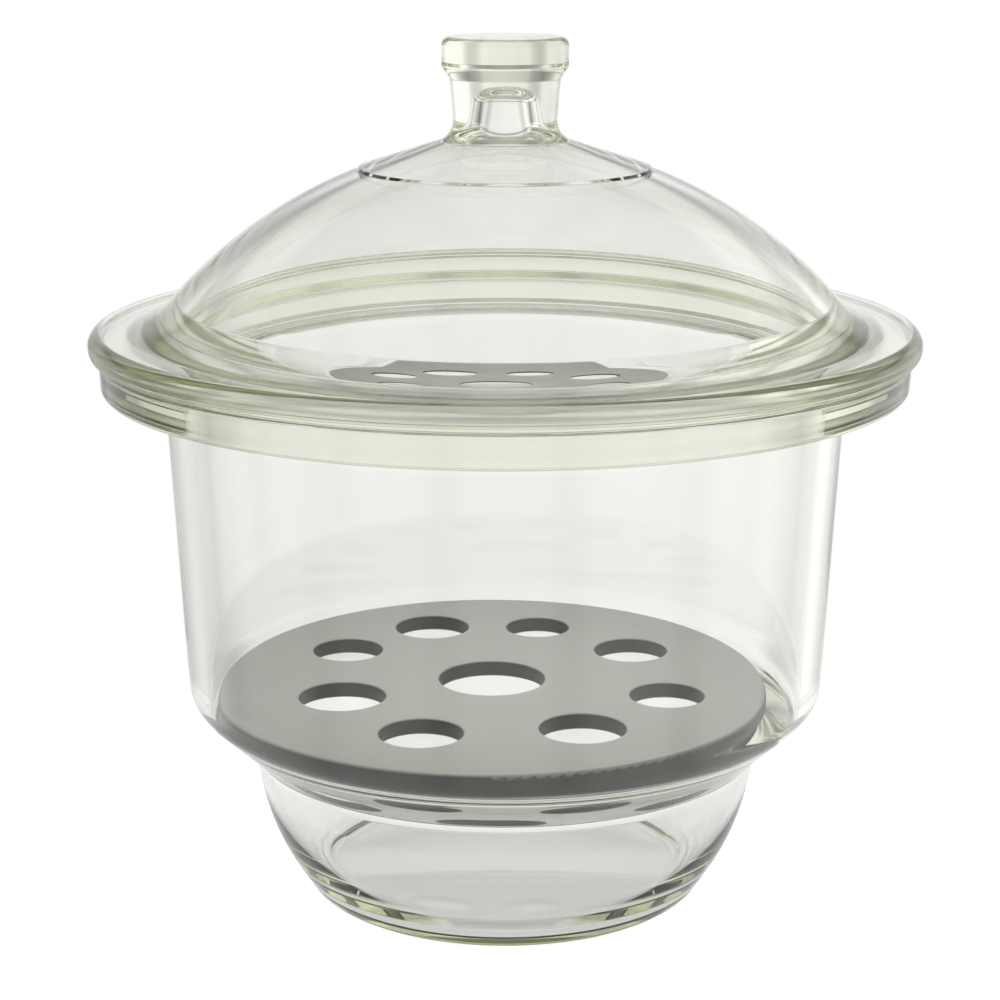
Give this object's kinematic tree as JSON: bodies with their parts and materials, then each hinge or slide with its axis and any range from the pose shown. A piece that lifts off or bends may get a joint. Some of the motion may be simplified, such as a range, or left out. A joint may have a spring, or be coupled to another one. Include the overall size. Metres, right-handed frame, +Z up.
{
  "type": "laboratory desiccator",
  "caption": "Round glass laboratory desiccator: a flanged jar with a rounded bowl, a loose perforated porcelain plate and a domed lid with a knob.",
  "frame": {"origin": "centre of the flat face that the jar stands on", "axes": "+Z up along the jar's axis of revolution; X and Y across it, with the loose plate lying 4.5 mm off the axis towards -X"},
  "size_m": [0.2756, 0.2756, 0.289],
  "materials": {
    "glass": "clear, slightly yellow-green soda-lime glass, ground on the joint faces",
    "porcelain": "dull light grey porcelain"
  },
  "bodies": {
    "jar": {"jar": "glass"},
    "lid": {"lid": "glass"},
    "plate": {"plate": "porcelain"}
  },
  "joints": [
    {"name": "lid_lift", "type": "slide", "parent": "jar", "child": "lid", "axis": [0, 0, 1], "range_m": [0, 0.15]},
    {"name": "plate_lift", "type": "slide", "parent": "jar", "child": "plate", "axis": [0, 0, 1], "range_m": [0, 0.12]}
  ]
}
